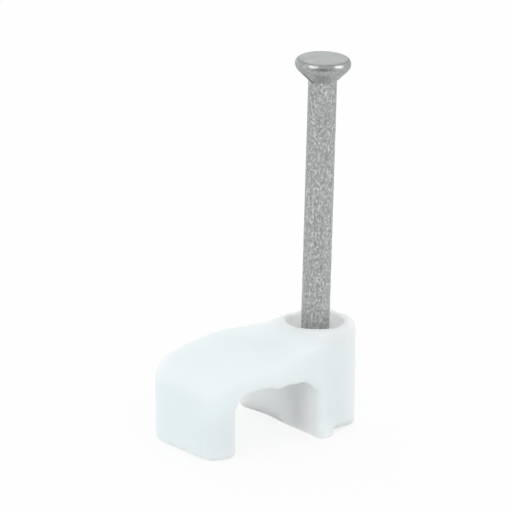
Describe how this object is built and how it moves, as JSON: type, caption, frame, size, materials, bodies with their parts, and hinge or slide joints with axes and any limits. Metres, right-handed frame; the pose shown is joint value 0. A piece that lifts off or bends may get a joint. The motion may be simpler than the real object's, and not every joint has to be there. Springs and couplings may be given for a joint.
{
  "type": "nail in cable clip",
  "caption": "Moulded white plastic clip that hooks over a flat cable, with a steel masonry nail standing in its boss, ready to be driven into a wall.",
  "frame": {"origin": "centre of the nail's bore in the plane of the feet, which is the wall when the clip is fixed", "axes": "+Z away from the wall, +Y along the cable, +X across the cable from the free leg to the nail boss"},
  "size_m": [0.0131, 0.0089, 0.0275],
  "materials": {
    "clip_plastic": "smooth moulded white plastic with a soft sheen",
    "nail_steel": "rough grey zinc-coated steel with fine mottling"
  },
  "bodies": {
    "clip": {"clip_body": "clip_plastic"},
    "nail": {"nail": "nail_steel"}
  },
  "joints": [
    {"name": "nail_drive", "type": "slide", "parent": "clip", "child": "nail", "axis": [0.0152, -0.0137, 0.9998], "range_m": [-0.0194, 0]}
  ]
}
